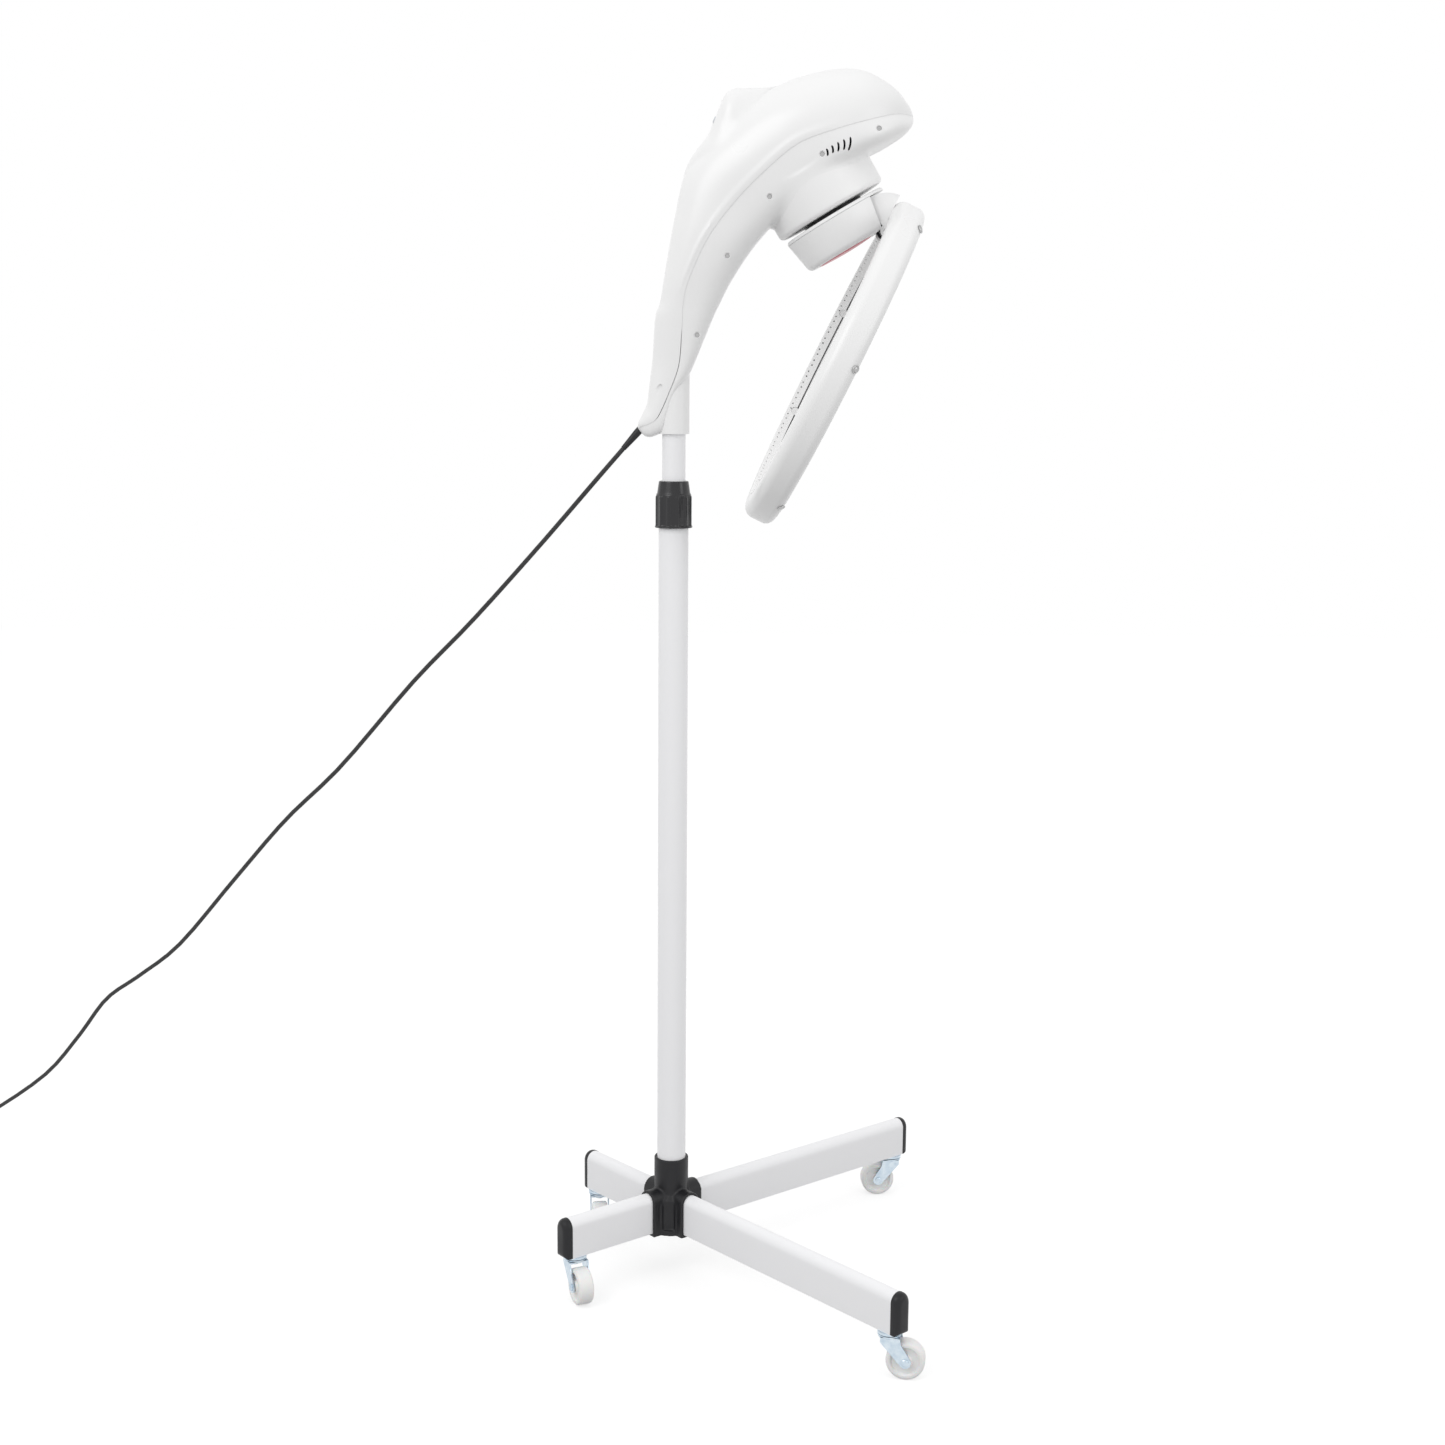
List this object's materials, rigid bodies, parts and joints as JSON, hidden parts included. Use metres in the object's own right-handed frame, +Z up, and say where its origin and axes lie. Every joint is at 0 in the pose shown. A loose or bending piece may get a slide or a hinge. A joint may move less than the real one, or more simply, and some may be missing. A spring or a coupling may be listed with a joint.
{
  "type": "orbiting infrared pet dryer on a stand",
  "caption": "Floor-standing pet dryer: a heated halo orbits under an arched head on an adjustable pole, on a cross base with swivel casters.",
  "frame": {"origin": "on the floor at the pole axis", "axes": "+Z up along the pole; +X towards the halo, where the head reaches; +Y to the left, as someone standing under the head would have it when looking along +X"},
  "size_m": [1.366, 0.7716, 1.3164],
  "materials": {
    "white": "moulded ABS, glossy",
    "powder": "fine powder coat",
    "black": "satin moulding",
    "black_gloss": "glossy moulding",
    "zinc": "zinc plate",
    "steel": "plain steel",
    "tread": "pale soft tread",
    "lens": "translucent red, lit",
    "window": "dark window",
    "button": "glossy",
    "board": "circuit board",
    "lamp": "diffusing white",
    "gear": "acetal",
    "mirror": "bright rolled reflector",
    "quartz": "quartz",
    "cord": "matt cord sheath"
  },
  "bodies": {
    "base": {"base_hub": "black", "leg_front_left": "powder", "leg_front_right": "powder", "leg_rear_left": "powder", "leg_rear_right": "powder", "leg_caps": "black", "leg_bolts": "steel", "caster_studs": "zinc", "lower_pole": "powder", "pole_joint": "steel", "upper_pole": "powder", "clamp_collet": "black"},
    "clamp_nut": {"clamp_nut": "black_gloss"},
    "mast": {"mast": "powder", "mast_plugs": "black"},
    "head": {"pole_socket": "white", "back_cover": "white", "front_cover": "white", "cover_screws": "steel", "cover_posts": "white", "control_pod": "white", "display_window": "window", "drive_housing": "white", "drive_plate": "zinc", "gear_motor": "steel", "control_board": "board", "strain_relief": "black", "cord_drop": "cord", "cord_coil": "cord", "mains_plug": "black"},
    "button_power": {"button_power": "button"},
    "button_timer": {"button_timer": "button"},
    "button_heat": {"button_heat": "button"},
    "button_orbit": {"button_orbit": "button"},
    "pinion": {"motor_pinion": "gear"},
    "orbit": {"orbit_neck": "black", "orbit_gear": "gear", "carrier_lid": "white", "carrier_cup": "white", "carrier_lens": "lens", "lamp_board": "lamp", "hinge_bracket": "black", "hinge_pin": "steel"},
    "halo": {"hinge_hood": "white", "halo_shell": "white", "halo_band": "white", "halo_screws": "white", "halo_reflector": "mirror", "quartz_tube": "quartz", "guard_grille": "zinc", "guard_clips": "zinc"},
    "caster_fork_front_left": {"caster_fork_front_left": "zinc"},
    "caster_wheel_front_left": {"caster_wheel_front_left": "tread"},
    "caster_fork_front_right": {"caster_fork_front_right": "zinc"},
    "caster_wheel_front_right": {"caster_wheel_front_right": "tread"},
    "caster_fork_rear_left": {"caster_fork_rear_left": "zinc"},
    "caster_wheel_rear_left": {"caster_wheel_rear_left": "tread"},
    "caster_fork_rear_right": {"caster_fork_rear_right": "zinc"},
    "caster_wheel_rear_right": {"caster_wheel_rear_right": "tread"}
  },
  "joints": [
    {"name": "clamp_turn", "type": "hinge", "parent": "base", "child": "clamp_nut", "pos_m": [0, 0, 0.866], "axis": [0, 0, 1], "range_deg": [0, 360]},
    {"name": "mast_slide", "type": "slide", "parent": "base", "child": "mast", "axis": [0, 0, 1], "range_m": [-0.045, 0.28]},
    {"name": "head_swivel", "type": "hinge", "parent": "mast", "child": "head", "pos_m": [0, 0, 1], "axis": [0, 0, 1], "range_deg": [-160, 160]},
    {"name": "orbit_spin", "type": "hinge", "parent": "head", "child": "orbit", "pos_m": [0.165, 0, 1.173], "axis": [-0.512, 0, 0.859], "continuous": true},
    {"name": "pinion_spin", "type": "hinge", "parent": "head", "child": "pinion", "pos_m": [0.12657, -0.01368, 1.16406], "axis": [-0.512, 0, 0.859], "continuous": true},
    {"name": "halo_tilt", "type": "hinge", "parent": "orbit", "child": "halo", "pos_m": [0.22016, 0, 1.15175], "axis": [0, -1, 0], "range_deg": [0, 15]},
    {"name": "press_power", "type": "slide", "parent": "head", "child": "button_power", "axis": [0.9272, 0, -0.3746], "range_m": [0, 0.001], "stiffness_N_per_m": 400},
    {"name": "press_timer", "type": "slide", "parent": "head", "child": "button_timer", "axis": [0.9272, 0, -0.3746], "range_m": [0, 0.001], "stiffness_N_per_m": 400},
    {"name": "press_heat", "type": "slide", "parent": "head", "child": "button_heat", "axis": [0.9272, 0, -0.3746], "range_m": [0, 0.001], "stiffness_N_per_m": 400},
    {"name": "press_orbit", "type": "slide", "parent": "head", "child": "button_orbit", "axis": [0.9272, 0, -0.3746], "range_m": [0, 0.001], "stiffness_N_per_m": 400},
    {"name": "swivel_front_left", "type": "hinge", "parent": "base", "child": "caster_fork_front_left", "pos_m": [0.26813, 0.21868, 0.045], "axis": [0, 0, 1], "continuous": true},
    {"name": "roll_front_left", "type": "hinge", "parent": "caster_fork_front_left", "child": "caster_wheel_front_left", "pos_m": [0.2512, 0.2172, 0.02], "axis": [-0.0872, 0.9962, 0], "continuous": true},
    {"name": "swivel_front_right", "type": "hinge", "parent": "base", "child": "caster_fork_front_right", "pos_m": [0.22791, -0.26034, 0.045], "axis": [0, 0, 1], "continuous": true},
    {"name": "roll_front_right", "type": "hinge", "parent": "caster_fork_front_right", "child": "caster_wheel_front_right", "pos_m": [0.24465, -0.26329, 0.02], "axis": [-0.1736, -0.9848, 0], "continuous": true},
    {"name": "swivel_rear_left", "type": "hinge", "parent": "base", "child": "caster_fork_rear_left", "pos_m": [-0.08761, 0.10007, 0.045], "axis": [0, 0, 1], "continuous": true},
    {"name": "roll_rear_left", "type": "hinge", "parent": "caster_fork_rear_left", "child": "caster_wheel_rear_left", "pos_m": [-0.08612, 0.08314, 0.02], "axis": [-0.9962, -0.0872, 0], "continuous": true},
    {"name": "swivel_rear_right", "type": "hinge", "parent": "base", "child": "caster_fork_rear_right", "pos_m": [-0.10307, -0.08406, 0.045], "axis": [0, 0, 1], "continuous": true},
    {"name": "roll_rear_right", "type": "hinge", "parent": "caster_fork_rear_right", "child": "caster_wheel_rear_right", "pos_m": [-0.09588, -0.09947, 0.02], "axis": [-0.9063, -0.4226, 0], "continuous": true}
  ],
  "couplings": [
    {"joint": "pinion_spin", "follows": "orbit_spin", "ratio": -4}
  ]
}
